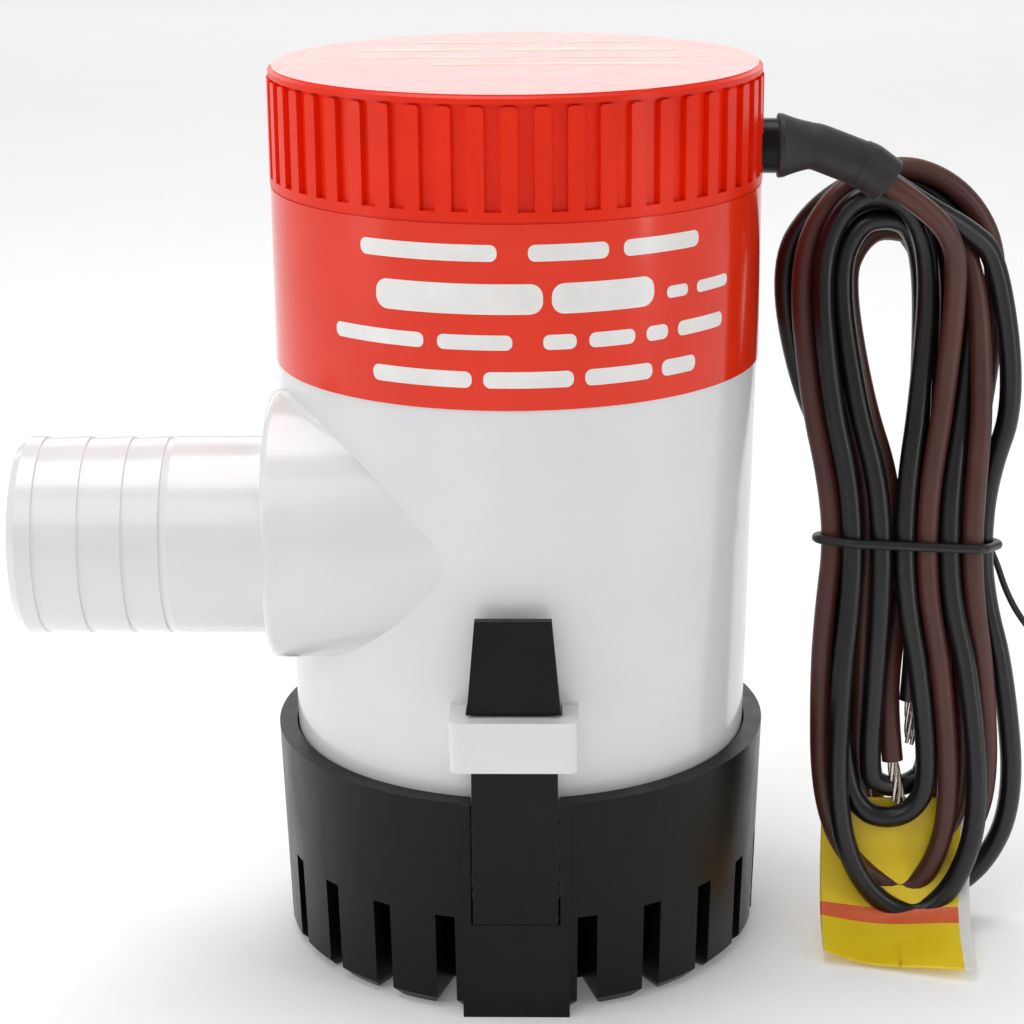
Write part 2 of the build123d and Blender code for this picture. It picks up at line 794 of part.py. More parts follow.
lean = math.radians(hank_lean)
hank_plane = Plane(
    origin=(0, hank_foot, 0),
    x_dir=(1, 0, 0),
    z_dir=(0, -math.cos(lean), math.sin(lean)),
)
hank_outline = [
    (61.0, 1.0), (70.3, 5.0), (77.2, 20.0), (74.7, 37.6), (71.0, 59.0), (73.0, 80.0),
    (73.6, 99.0), (67.5, 113.0), (57.0, 118.2), (46.0, 112.6), (40.6, 100.0), (44.0, 79.5),
    (47.7, 60.0), (46.6, 45.0), (46.6, 27.0), (50.8, 9.6),
]
hank_window = [(57.2, 75.0), (60.2, 90.0), (58.4, 103.0), (54.6, 105.5), (51.0, 97.0), (52.0, 85.0)]
with BuildPart() as wire_hank:
    with BuildSketch(hank_plane):
        with BuildLine():
            Spline(*hank_outline, periodic=True)
        make_face()
        with BuildLine():
            Spline(*hank_window, periodic=True)
        make_face(mode=Mode.SUBTRACT)
    extrude(amount=hank_depth / 2, both=True)
pieces["wire_hank"] = wire_hank

tie_middle = hank_plane.from_local_coords((59.35, tie_height, 0))
tie_plane = Plane(tie_middle, x_dir=(1, 0, 0), z_dir=hank_plane.y_dir)
tie_half_width = 12.4 + tie_radius
tie_half_depth = hank_depth / 2 + tie_radius + 0.06
tie_tail = [(71.8, 5.4, 59.2), (74.5, 5.2, 52.0), (80.5, 4.6, 43.5)]
with BuildPart() as wire_tie:
    with BuildLine(tie_plane) as tie_path:
        FilletPolyline(
            (-tie_half_width, tie_half_depth),
            (-tie_half_width, -tie_half_depth),
            (tie_half_width, -tie_half_depth),
            (tie_half_width, tie_half_depth),
            radius=1.4,
            close=True,
        )
    with BuildSketch(Plane(tie_path.line @ 0, z_dir=tie_path.line % 0)):
        Circle(tie_radius)
    sweep(path=tie_path.line)
    with BuildLine() as tail_path:
        FilletPolyline(*tie_tail, radius=8)
    with BuildSketch(Plane(tail_path.line @ 0, z_dir=tail_path.line % 0)):
        Circle(0.5)
    sweep(path=tail_path.line)
pieces["wire_tie"] = wire_tie

tag_line = [(-3.0, 21.0), (-4.6, 12.0), (-9.0, 5.0), (-16.5, 1.7), (-27.0, 0.4)]
tag_face_shift = (-0.25, 0.35)
with BuildPart() as wire_tag:
    with BuildSketch(Plane.YZ.offset(47)):
        with BuildLine():
            tag_back = Spline(*tag_line)
            tag_face = Spline(*[(y + tag_face_shift[0], z + tag_face_shift[1]) for y, z in tag_line])
            Line(tag_back @ 0, tag_face @ 0)
            Line(tag_back @ 1, tag_face @ 1)
        make_face()
    extrude(amount=25)
pieces["wire_tag"] = wire_tag

# ------------------------------------------------------------------ one STEP file per piece
for label, piece in pieces.items():
    piece.part.label = label
    export_step(piece.part, f"parts/{label}.step")
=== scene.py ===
import math

import bmesh
import bpy
import numpy as np
from mathutils import Matrix, Vector


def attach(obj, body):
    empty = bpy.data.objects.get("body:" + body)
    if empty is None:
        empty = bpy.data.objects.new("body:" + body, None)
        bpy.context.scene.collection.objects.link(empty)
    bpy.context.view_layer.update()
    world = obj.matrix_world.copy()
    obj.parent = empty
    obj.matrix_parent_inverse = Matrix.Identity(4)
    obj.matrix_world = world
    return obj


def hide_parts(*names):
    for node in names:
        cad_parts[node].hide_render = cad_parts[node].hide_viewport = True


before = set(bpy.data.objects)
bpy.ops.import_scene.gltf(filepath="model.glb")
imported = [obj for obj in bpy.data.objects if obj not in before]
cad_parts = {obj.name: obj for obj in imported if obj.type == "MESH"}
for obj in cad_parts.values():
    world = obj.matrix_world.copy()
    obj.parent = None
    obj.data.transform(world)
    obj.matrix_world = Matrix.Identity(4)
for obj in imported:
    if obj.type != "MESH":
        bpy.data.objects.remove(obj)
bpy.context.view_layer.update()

MM = 0.001

# ------------------------------------------------------------------ camera

CAMERA_PLACE = Vector((0.0094, -0.3779, 0.1820))
CAMERA_FORWARD = Vector((-0.0264, 0.9554, -0.2941)).normalized()
CAMERA_RIGHT = Vector((0.9997, 0.0249, -0.0088)).normalized()

camera_data = bpy.data.cameras.new("camera")
camera_data.lens = 91.25
camera_data.sensor_width = 36.0
camera_data.clip_start = 0.01
camera = bpy.data.objects.new("camera", camera_data)
bpy.context.scene.collection.objects.link(camera)
camera_up = CAMERA_RIGHT.cross(CAMERA_FORWARD).normalized()
camera.matrix_world = Matrix.Translation(CAMERA_PLACE) @ Matrix(
    (
        (CAMERA_RIGHT.x, camera_up.x, -CAMERA_FORWARD.x),
        (CAMERA_RIGHT.y, camera_up.y, -CAMERA_FORWARD.y),
        (CAMERA_RIGHT.z, camera_up.z, -CAMERA_FORWARD.z),
    )
).to_4x4()
bpy.context.scene.camera = camera

# ------------------------------------------------------------------ materials


class Finish:
    """A material whose node tree is built with short calls."""

    def __init__(self, name):
        self.material = bpy.data.materials.new(name)
        self.material.use_nodes = True
        self.tree = self.material.node_tree
        self.shader = self.tree.nodes["Principled BSDF"]
        self.place = self.add("ShaderNodeTexCoord").outputs["Object"]

    def add(self, kind, inputs=None, **settings):
        """Adds a node. An input is a value, or another node's output to link."""
        node = self.tree.nodes.new(kind)
        for key, value in settings.items():
            setattr(node, key, value)
        for key, value in (inputs or {}).items():
            self.give(node.inputs[key], value)
        return node

    def give(self, socket, value):
        if isinstance(value, bpy.types.NodeSocket):
            self.tree.links.new(value, socket)
        else:
            socket.default_value = value

    def set(self, **values):
        """Sets the shader's own sockets, named with underscores for spaces."""
        for key, value in values.items():
            self.give(self.shader.inputs[key.replace("_", " ")], value)

    def math(self, operation, first, second):
        return self.add("ShaderNodeMath", {0: first, 1: second}, operation=operation).outputs[0]

    def noise(self, scale, detail, roughness=0.55, stretch=(1, 1, 1)):
        """Noise of so many cells per metre, finer or coarser along an axis by stretch."""
        place = self.add("ShaderNodeMapping", {"Vector": self.place, "Scale": stretch}).outputs[0]
        inputs = {"Vector": place, "Scale": scale, "Detail": detail, "Roughness": roughness}
        return self.add("ShaderNodeTexNoise", inputs).outputs["Fac"]

    def bands(self, scale, distortion):
        """Level bands, one above the other, wavy by distortion."""
        inputs = {"Vector": self.place, "Scale": scale, "Distortion": distortion,
                  "Detail": 2.0, "Detail Scale": 1.5}
        return self.add("ShaderNodeTexWave", inputs, bands_direction="Z").outputs["Fac"]

    def remap(self, value, low, high, to_low, to_high):
        inputs = {"Value": value, "From Min": low, "From Max": high, "To Min": to_low, "To Max": to_high}
        return self.add("ShaderNodeMapRange", inputs).outputs[0]

    def mix(self, share, first, second):
        node = self.add("ShaderNodeMix", data_type="RGBA")
        self.give(node.inputs[0], share)
        for socket, value in ((node.inputs[6], first), (node.inputs[7], second)):
            self.give(socket, (*value, 1.0) if isinstance(value, tuple) else value)
        return node.outputs[2]

    def bump(self, height, distance, after=None):
        inputs = {"Height": height, "Distance": distance}
        if after is not None:
            inputs["Normal"] = after
        return self.add("ShaderNodeBump", inputs).outputs[0]


def moulded(name, shades, rough, patch=45.0, grain=2600.0, grain_depth=0.00002, wave_depth=0.00006,
            wave=70.0, dust=None, **shader):
    """Moulded plastic or rubber: two close shades in soft patches, fine grain, and a faint unevenness."""
    f = Finish(name)
    patches = f.noise(patch, 4.0)
    colour = f.mix(f.remap(patches, 0.35, 0.65, 0.0, 1.0), *shades)
    if dust:
        specks = f.remap(f.noise(520.0, 6.0, 0.7), 0.64, 0.76, 0.0, dust[1])
        colour = f.mix(specks, colour, dust[0])
    wear = f.noise(170.0, 5.0, 0.65, stretch=(1, 1, 0.35))
    normal = f.bump(f.noise(wave, 2.0, 0.45), wave_depth)
    normal = f.bump(f.noise(grain, 4.0, 0.6), grain_depth, after=normal)
    f.set(Base_Color=colour, Roughness=f.remap(wear, 0.3, 0.7, *rough), Normal=normal, **shader)
    return f


def worked_metal(name, shades, rough, stretch=(1, 1, 12), streaks=420.0, depth=0.000012, **shader):
    """Turned, drawn or rolled metal: fine streaks across one direction, with dull patches."""
    f = Finish(name)
    streak = f.noise(streaks, 5.0, 0.65, stretch=stretch)
    patches = f.noise(120.0, 4.0)
    colour = f.mix(f.remap(patches, 0.3, 0.7, 0.0, 1.0), *shades)
    normal = f.bump(streak, depth)
    dullness = f.math("ADD", f.math("MULTIPLY", streak, 0.6), f.math("MULTIPLY", patches, 0.4))
    dullness = f.remap(dullness, 0.3, 0.7, *rough)
    f.set(Base_Color=colour, Roughness=dullness, Normal=normal, Metallic=1.0, **shader)
    return f


def banded(name, shades, rough, scale, depth, distortion=0.0, **shader):
    """Stacked sheets or laid wire: regular level bands."""
    f = Finish(name)
    bands = f.bands(scale, distortion)
    colour = f.mix(f.remap(bands, 0.1, 0.7, 0.0, 1.0), *shades)
    normal = f.bump(bands, depth)
    normal = f.bump(f.noise(900.0, 4.0), 0.00001, after=normal)
    dullness = f.remap(f.noise(200.0, 4.0), 0.3, 0.7, *rough)
    f.set(Base_Color=colour, Roughness=dullness, Normal=normal, **shader)
    return f


finishes = {}
finishes["black_plastic"] = moulded(
    "black_plastic", ((0.0030, 0.0030, 0.0034), (0.0055, 0.0055, 0.0060)), (0.24, 0.40), grain=3400.0,
    grain_depth=0.000012, wave_depth=0.00005, dust=((0.05, 0.05, 0.05), 0.22), Specular_IOR_Level=0.2)
finishes["white_plastic"] = moulded(
    "white_plastic", ((0.775, 0.782, 0.79), (0.815, 0.82, 0.825)), (0.15, 0.25), grain=1800.0,
    grain_depth=0.000006, wave_depth=0.00009, wave=38.0, Coat_Weight=0.25, Coat_Roughness=0.08)
finishes["orange_plastic"] = moulded(
    "orange_plastic", ((0.80, 0.018, 0.0008), (0.90, 0.025, 0.0014)), (0.24, 0.38), grain=2400.0,
    grain_depth=0.00001, wave_depth=0.00005, Specular_IOR_Level=0.25, dust=((0.95, 0.20, 0.09), 0.10))
finishes["label_film"] = moulded(
    "label_film", ((0.80, 0.027, 0.0035), (0.87, 0.034, 0.0055)), (0.10, 0.17), grain=900.0,
    grain_depth=0.000012, wave_depth=0.00016, wave=55.0, Coat_Weight=0.2, Coat_Roughness=0.05,
    Specular_IOR_Level=0.3)
finishes["black_rubber"] = moulded(
    "black_rubber", ((0.010, 0.011, 0.012), (0.017, 0.018, 0.019)), (0.42, 0.6), grain=2200.0,
    grain_depth=0.00003, dust=((0.12, 0.12, 0.12), 0.25), Sheen_Weight=0.1, Sheen_Roughness=0.4)
finishes["impeller_plastic"] = moulded(
    "impeller_plastic", ((0.018, 0.018, 0.02), (0.03, 0.03, 0.032)), (0.35, 0.5))
finishes["ceramic_blue"] = moulded(
    "ceramic_blue", ((0.03, 0.13, 0.36), (0.05, 0.18, 0.45)), (0.18, 0.3), grain=1200.0)
finishes["carbon"] = moulded(
    "carbon", ((0.018, 0.018, 0.018), (0.035, 0.035, 0.035)), (0.5, 0.7), grain=3000.0, grain_depth=0.00004)
finishes["ferrite"] = moulded(
    "ferrite", ((0.04, 0.04, 0.043), (0.07, 0.07, 0.072)), (0.45, 0.65), grain=2500.0, grain_depth=0.00004)
finishes["tie_plastic"] = moulded(
    "tie_plastic", ((0.005, 0.005, 0.006), (0.009, 0.009, 0.010)), (0.32, 0.45), grain=3000.0)
finishes["brown_wire"] = moulded(
    "brown_wire", ((0.066, 0.017, 0.012), (0.088, 0.024, 0.017)), (0.34, 0.48), patch=90.0, grain=2600.0,
    grain_depth=0.00002, wave_depth=0.00008, wave=160.0, dust=((0.24, 0.12, 0.09), 0.2))
finishes["black_wire"] = moulded(
    "black_wire", ((0.0035, 0.0035, 0.0042), (0.0065, 0.0065, 0.0072)), (0.24, 0.38), patch=90.0,
    grain=2600.0, grain_depth=0.00002, wave_depth=0.00008, wave=160.0, dust=((0.07, 0.07, 0.07), 0.2))
finishes["stainless_steel"] = worked_metal(
    "stainless_steel", ((0.52, 0.52, 0.53), (0.66, 0.66, 0.67)), (0.2, 0.36))
finishes["zinc_plated_steel"] = worked_metal(
    "zinc_plated_steel", ((0.47, 0.48, 0.50), (0.62, 0.63, 0.66)), (0.26, 0.42), stretch=(10, 10, 1))
finishes["bronze"] = worked_metal(
    "bronze", ((0.42, 0.27, 0.12), (0.56, 0.37, 0.18)), (0.38, 0.55), stretch=(1, 1, 1), streaks=1800.0)
finishes["lamination_steel"] = banded(
    "lamination_steel", ((0.22, 0.22, 0.23), (0.40, 0.40, 0.41)), (0.35, 0.5), 320.0, 0.00006, Metallic=1.0)
finishes["enamelled_copper"] = banded(
    "enamelled_copper", ((0.26, 0.07, 0.025), (0.52, 0.16, 0.06)), (0.2, 0.34), 420.0, 0.0001, distortion=1.5,
    Metallic=0.85, Coat_Weight=0.4)
finishes["tag_yellow"] = moulded(
    "tag_yellow", ((0.88, 0.62, 0.012), (0.95, 0.70, 0.022)), (0.3, 0.45), patch=120.0, grain=1500.0,
    wave_depth=0.0002, wave=130.0, dust=((0.75, 0.40, 0.05), 0.2))
finishes["tag_red"] = moulded(
    "tag_red", ((0.78, 0.10, 0.03), (0.86, 0.16, 0.05)), (0.3, 0.45), patch=160.0, grain=1500.0,
    wave_depth=0.0002, wave=130.0)
finishes["tag_white"] = moulded(
    "tag_white", ((0.80, 0.79, 0.76), (0.88, 0.87, 0.85)), (0.4, 0.55), patch=120.0, grain=1500.0,
    wave_depth=0.0002, wave=130.0)
finishes["print_white"] = moulded(
    "print_white", ((0.84, 0.82, 0.80), (0.90, 0.89, 0.88)), (0.16, 0.26), patch=200.0, grain=1500.0,
    wave_depth=0.00004, dust=((0.86, 0.42, 0.30), 0.35), Coat_Weight=0.4)
finishes["print_pale"] = moulded(
    "print_pale", ((0.86, 0.30, 0.18), (0.90, 0.40, 0.27)), (0.2, 0.34), patch=200.0, grain=1500.0,
    dust=((0.84, 0.10, 0.04), 0.5), Coat_Weight=0.3)
finishes["tinned_copper"] = worked_metal(
    "tinned_copper", ((0.62, 0.54, 0.46), (0.74, 0.70, 0.66)), (0.2, 0.35), stretch=(1, 1, 1), streaks=2500.0)

node_slots = {
    "black_plastic": ("strainer_base", "front_latch_tab", "rear_latch_tab", "inlet_plate", "cable_gland",
                      "motor_end_bell", "brush_arms"),
    "white_plastic": ("pump_housing", "outlet_spigot", "motor_cup", "motor_ring"),
    "orange_plastic": ("cap",),
    "label_film": ("side_label", "top_label"),
    "black_rubber": ("strain_relief_boot", "wire_sleeve", "cap_seal", "cup_gasket", "shaft_seal",
                     "motor_cushion"),
    "impeller_plastic": ("impeller",),
    "stainless_steel": ("plate_screws", "motor_shaft", "seal_retainer", "thrust_washer"),
    "zinc_plated_steel": ("motor_can",),
    "bronze": ("lower_bushing", "upper_bushing", "commutator"),
    "ferrite": ("field_magnets",),
    "carbon": ("carbon_brushes",),
    "ceramic_blue": ("suppression_capacitor",),
    "lamination_steel": ("armature_core",),
    "enamelled_copper": ("armature_windings",),
    "brown_wire": ("inner_brown_lead",),
    "black_wire": ("inner_black_lead",),
}
for slot_name, members in node_slots.items():
    for member in members:
        for material_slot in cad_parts[member].material_slots:
            material_slot.material = finishes[slot_name].material

# ------------------------------------------------------------------ the wires' route, in millimetres

WIRE_RADIUS = 1.65
WIRE_SPREAD = 1.67  # half the distance of the two wires where they leave the sleeve
HANK_LEAN = math.radians(7.5)
HANK_FOOT = -6.0
TIE_HEIGHT = 61.0
TOP_HEIGHT, LOW_HEIGHT = 97.0, 27.0  # where the bends at the hank's two ends begin


def on_hank(across, up, front):
    """A place on the leaning hank: across it, up it, and towards its front."""
    return (
        across,
        HANK_FOOT + up * math.sin(HANK_LEAN) - front * math.cos(HANK_LEAN),
        up * math.cos(HANK_LEAN) + front * math.sin(HANK_LEAN),
    )


# Each turn goes down the right side, round the bottom, up the left side and over the top.
# A place is (across, front), and a bend also has its height.
BLACK_TURNS = [
    dict(right_top=(74.6, 0.0), right_tie=(70.6, -0.3), right_low=(77.4, -0.8), bottom=(62.0, -3.2, 2.6),
         left_low=(48.6, -2.8), left_tie=(52.6, -3.5), left_top=(40.0, -1.6), top=(54.0, -2.4, 115.4)),
    dict(right_top=(68.2, 0.6), right_tie=(65.3, 3.2), right_low=(71.3, 3.8), bottom=(60.8, 3.2, 2.2),
         left_low=(48.5, 3.8), left_tie=(50.9, 3.3), left_top=(44.8, 3.0), top=(52.6, 2.6, 114.4)),
    dict(right_top=(61.7, 1.5), right_tie=(58.5, 3.2), right_low=(63.4, 2.2), bottom=(57.2, 1.6, 17.0),
         left_low=(50.8, 1.0), left_tie=(50.4, -1.0), left_top=(42.6, -4.3), top=(55.5, -4.8, 113.6)),
    dict(right_top=(66.8, -2.4), right_tie=(63.6, -0.1), right_low=(63.0, -1.4), bottom=(58.4, -1.0, 21.0),
         left_low=(53.2, 0.6), left_tie=(55.1, 3.2), left_top=(47.6, 0.9), top=(56.0, 0.0, 112.0)),
]
BROWN_TURNS = [
    dict(right_top=(65.6, 3.6), right_tie=(61.9, 3.3), right_low=(66.6, 2.6), bottom=(60.0, 0.4, 5.6),
         left_low=(46.9, 0.6), left_tie=(48.3, 1.0), left_top=(41.8, 1.5), top=(57.5, 0.2, 117.9)),
    dict(right_top=(73.2, -3.6), right_tie=(67.0, -0.2), right_low=(69.2, 0.2), bottom=(60.5, -1.6, 10.4),
         left_low=(52.6, -1.9), left_tie=(53.5, -0.4), left_top=(44.6, -1.5), top=(59.0, -1.6, 112.0)),
    dict(right_top=(72.4, 2.8), right_tie=(68.7, 2.9), right_low=(72.9, 0.6), bottom=(61.0, -4.2, 7.4),
         left_low=(51.2, -5.0), left_tie=(56.8, -0.1), left_top=(49.0, -2.3), top=(56.4, -3.2, 109.2)),
    dict(right_top=(69.9, -3.6), right_tie=(66.2, -3.4), right_low=(67.0, -3.4), bottom=(60.2, -5.2, 13.4),
         left_low=(53.6, -5.0), left_tie=(56.0, -3.5), left_top=(46.6, -4.7), top=(56.0, -6.2, 110.4)),
]
BLACK_START = [(54.4, WIRE_SPREAD, 116.1), (60.6, 1.67, 112.0), (66.5, 3.5, 108.6), (71.8, 5.6, 104.0)]
BROWN_START = [(54.4, -WIRE_SPREAD, 116.1), (60.0, -1.67, 112.4), (63.9, -0.4, 108.0), (65.4, 1.8, 102.0)]
BLACK_END = [on_hank(61.4, 88, -2.2), on_hank(61.0, 78, -1.2), on_hank(60.4, 69, -0.4),
             on_hank(60.2, 61, -0.1), on_hank(60.0, 53, -0.6), on_hank(59.6, 44, -0.9),
             on_hank(59.2, 36, -0.2)]
BROWN_END = [on_hank(63.2, 88, -4.6), on_hank(61.4, 78, -4.2), on_hank(60.0, 69, -3.6),
             on_hank(59.4, 61, -3.4), on_hank(58.4, 52, -2.2), on_hank(57.6, 42, -0.4),
             on_hank(57.6, 34, 0.4), on_hank(57.8, 26.5, 0.6)]
# How a side bulges away from the tie: (share of the way up to the bend, share of the way out to the bulge).
SIDE_STEPS = ((0.28, 0.14), (0.60, 0.60))
BEND_ANGLES = (18, 52, 90, 128, 162)
BEND_SWELL = 1.035  # the route stands this much outside the bend that it makes


def end_bend(side_from, side_to, middle, height_from):
    """The points round one end of the hank, from one side to the other."""
    across, front, height = middle
    points = []
    for angle in BEND_ANGLES:
        side = side_from if angle < 90 else side_to
        share = abs(math.cos(math.radians(angle)))
        rise = math.sin(math.radians(angle)) * BEND_SWELL
        points.append((across + (side[0] - across) * share * BEND_SWELL,
                       height_from + (height - height_from) * rise,
                       front + (side[1] - front) * share**2))
    return points


def side_run(start, tie, end, start_height, end_height):
    """The points of a side between two bends, through the tie."""
    points = []
    for share_up, share_out in reversed(SIDE_STEPS):
        points.append((tie[0] + (start[0] - tie[0]) * share_out,
                       TIE_HEIGHT + (start_height - TIE_HEIGHT) * share_up,
                       tie[1] + (start[1] - tie[1]) * share_out))
    points.append((tie[0], TIE_HEIGHT, tie[1]))
    for share_up, share_out in SIDE_STEPS:
        points.append((tie[0] + (end[0] - tie[0]) * share_out,
                       TIE_HEIGHT + (end_height - TIE_HEIGHT) * share_up,
                       tie[1] + (end[1] - tie[1]) * share_out))
    return points


def hank_route(turns, last_right_top):
    """The points of all the turns of one wire."""
    points = []
    for index, turn in enumerate(turns):
        after = turns[index + 1]["right_top"] if index + 1 < len(turns) else last_right_top
        points += side_run(turn["right_top"], turn["right_tie"], turn["right_low"], TOP_HEIGHT, LOW_HEIGHT)
        points += end_bend(turn["right_low"], turn["left_low"], turn["bottom"], LOW_HEIGHT)
        points += side_run(turn["left_low"], turn["left_tie"], turn["left_top"], LOW_HEIGHT, TOP_HEIGHT)
        points += end_bend(turn["left_top"], after, turn["top"], TOP_HEIGHT)
    return [on_hank(*point) for point in points]


def spline_weights(count, per_span):
    """How much each of the route's points counts at places along its quadratic spline with clamped ends."""
    spans = count - 2
    knots = np.concatenate([np.zeros(2), np.linspace(0, spans, spans + 1), np.full(2, spans)])
    weights = np.zeros((spans * per_span + 1, count))
    for row, place in enumerate(np.linspace(0, spans, spans * per_span + 1)):
        place = min(place, spans - 1e-9)
        basis = [1.0 if knots[i] <= place < knots[i + 1] else 0.0 for i in range(len(knots) - 1)]
        for degree in (1, 2):
            raised = []
            for i in range(len(basis) - 1):
                before, after = knots[i + degree] - knots[i], knots[i + degree + 1] - knots[i + 1]
                value = (place - knots[i]) / before * basis[i] if before else 0.0
                value += (knots[i + degree + 1] - place) / after * basis[i + 1] if after else 0.0
                raised.append(value)
            basis = raised
        weights[row] = basis
    return weights


ROUNDS = 80
PER_SPAN = 5
CLEAR = 2 * WIRE_RADIUS + 0.04   # the least distance of two wires' middles
SAME_RUN = 14                    # places this near along a wire don't push each other
EASY_RADIUS = 6.5                # a bend tighter than this is opened a little
HELD_POINTS = 4                  # the lead from the sleeve stays where it is
FLOOR_GAP = 0.3                  # the wires stay at least this far above the floor
HASTE = 1.5                      # each push is made this many times larger, to settle sooner
OPENING_HERE, OPENING_BESIDE = 0.25, 0.12  # how a tight bend's point and its neighbours share its opening
PUSH_HERE, PUSH_BESIDE = 0.6, 0.2          # how a point and its neighbours share a push
TIE_REACH = 3.0
TIE_ACROSS = (48.0, 70.9)
TIE_FRONT = 3.5
UP_HANK = np.array([0, math.sin(HANK_LEAN), math.cos(HANK_LEAN)])
TO_FRONT = np.array([0, -math.cos(HANK_LEAN), math.sin(HANK_LEAN)])
FOOT = np.array([0, HANK_FOOT, 0])


def opened(points):
    """How the points move to open the bends that are too tight."""
    before, here, after = points[:-2], points[1:-1], points[2:]
    chord = np.linalg.norm(after - before, axis=1)
    turn = np.linalg.norm(np.cross(here - before, after - before), axis=1)
    sides = np.linalg.norm(here - before, axis=1) * np.linalg.norm(after - here, axis=1)
    radius = sides * chord / np.maximum(2 * turn, 1e-9)
    shift = np.clip((EASY_RADIUS - radius) / EASY_RADIUS, 0, 1)[:, None] * ((before + after) / 2 - here)
    move = np.zeros_like(points)
    move[1:-1] += OPENING_HERE * shift
    move[:-2] -= OPENING_BESIDE * shift
    move[2:] -= OPENING_BESIDE * shift
    return move


def settled(routes):
    """Moves the points until the wires lie beside each other and not in each other."""
    weights = [spline_weights(len(route), PER_SPAN) for route in routes]
    routes = [route.copy() for route in routes]
    for _ in range(ROUNDS):
        lines = [w @ route for w, route in zip(weights, routes)]
        places = np.concatenate(lines)
        wire = np.concatenate([np.full(len(line), i) for i, line in enumerate(lines)])
        order = np.concatenate([np.arange(len(line)) for line in lines])
        apart = places[:, None, :] - places[None, :, :]
        distance = np.sqrt((apart**2).sum(2)) + 1e-9
        beside = (wire[:, None] == wire[None, :]) & (np.abs(order[:, None] - order[None, :]) < SAME_RUN)
        overlap = np.where((distance < CLEAR) & ~beside, CLEAR - distance, 0)
        deepest = overlap.argmax(1)
        rows = np.arange(len(places))
        push = 0.5 * apart[rows, deepest] / distance[rows, deepest, None] * overlap[rows, deepest, None]
        first = 0
        for w, route in zip(weights, routes):
            move = w.T @ push[first:first + len(w)] / np.maximum(w.sum(0), 1e-9)[:, None] * HASTE
            first += len(w)
            move[1:-1] = PUSH_BESIDE * move[:-2] + PUSH_HERE * move[1:-1] + PUSH_BESIDE * move[2:]
            move += opened(route)
            move[:HELD_POINTS] = 0
            route += move
            route[:, 2] = np.maximum(route[:, 2], WIRE_RADIUS + FLOOR_GAP)
            tied = np.abs((route - FOOT) @ UP_HANK - TIE_HEIGHT) < TIE_REACH
            route[tied, 0] = np.clip(route[tied, 0], *TIE_ACROSS)
            front = (route[tied] - FOOT) @ TO_FRONT
            route[tied] += (np.clip(front, -TIE_FRONT, TIE_FRONT) - front)[:, None] * TO_FRONT
    return routes


black_route, brown_route = settled([
    np.array(BLACK_START + hank_route(BLACK_TURNS, (61.4, -2.0)) + BLACK_END, float),
    np.array(BROWN_START + hank_route(BROWN_TURNS, (64.0, -4.6)) + BROWN_END, float),
])

# ------------------------------------------------------------------ pieces


def curve_piece(name, routes, radius, finish, closed=False, resolution=10, sides=8):
    """A round bar along one or more routes, in millimetres."""
    data = bpy.data.curves.new(name, "CURVE")
    data.dimensions = "3D"
    data.bevel_depth = radius * MM
    data.bevel_resolution = sides
    data.resolution_u = resolution
    data.use_fill_caps = True
    for route in routes:
        spline = data.splines.new("NURBS")
        spline.points.add(len(route) - 1)
        for point, place in zip(spline.points, route):
            point.co = (place[0] * MM, place[1] * MM, place[2] * MM, 1.0)
        spline.order_u = 3
        if closed:
            spline.use_cyclic_u = True
        else:
            spline.use_endpoint_u = True
    piece = bpy.data.objects.new(name, data)
    bpy.context.scene.collection.objects.link(piece)
    data.materials.append(finishes[finish].material)
    return piece


def mesh_piece(name, bm, *finish_names, smooth=True):
    data = bpy.data.meshes.new(name)
    bmesh.ops.recalc_face_normals(bm, faces=bm.faces)
    bm.to_mesh(data)
    bm.free()
    for face in data.polygons:
        face.use_smooth = smooth
    for finish in finish_names:
        data.materials.append(finishes[finish].material)
    piece = bpy.data.objects.new(name, data)
    bpy.context.scene.collection.objects.link(piece)
    return piece


black_cord = curve_piece("black_cord", [black_route], WIRE_RADIUS, "black_wire")
brown_cord = curve_piece("brown_cord", [brown_route], WIRE_RADIUS, "brown_wire")

# The tie goes round the wires where they cross its plane, and its tail hangs off to the right.
TIE_RADIUS = 0.72
TIE_BITE = 0.02    # how far the tie sinks into the wires
TIE_SLOPE = -0.05  # how much the tie rises for each millimetre to the right
TIE_MIDDLE = 60    # where across the hank the tie is at its stated height
tie_wires = []
for route in (black_route, brown_route):
    line = spline_weights(len(route), PER_SPAN * 2) @ route
    heights = (line - FOOT) @ UP_HANK - TIE_HEIGHT
    for index in np.nonzero(heights[:-1] * heights[1:] <= 0)[0]:
        share = heights[index] / (heights[index] - heights[index + 1])
        place = line[index] + (line[index + 1] - line[index]) * share
        tie_wires.append((place[0], (place - FOOT) @ TO_FRONT))
tie_wires = np.array(tie_wires)
tie_loop = []
for angle in range(0, 360, 8):
    way = np.array([math.cos(math.radians(angle)), math.sin(math.radians(angle))])
    outer = tie_wires[(tie_wires @ way).argmax()] + way * (WIRE_RADIUS + TIE_RADIUS - TIE_BITE)
    tie_loop.append(on_hank(outer[0], TIE_HEIGHT + TIE_SLOPE * (outer[0] - TIE_MIDDLE), outer[1]))
tie_band = curve_piece("tie_band", [tie_loop], TIE_RADIUS, "tie_plastic", closed=True)
TIE_TAIL = [(70.0, 6.9, 60.4), (71.8, 5.9, 59.6), (73.6, 5.4, 56.2), (75.4, 5.1, 51.0), (78.0, 4.8, 46.4),
            (80.3, 4.6, 43.9)]
TAIL_RADIUS = 0.5
tie_tail = curve_piece("tie_tail", [TIE_TAIL], TAIL_RADIUS, "tie_plastic")


STRANDS = 7
STRAND_RADIUS = 0.31
STRAND_SPREAD = 0.62
STRAND_POINTS = 8
STRAND_TWIST = 2.6   # radians over the bare length
STRAND_START = -0.6  # inside the insulation


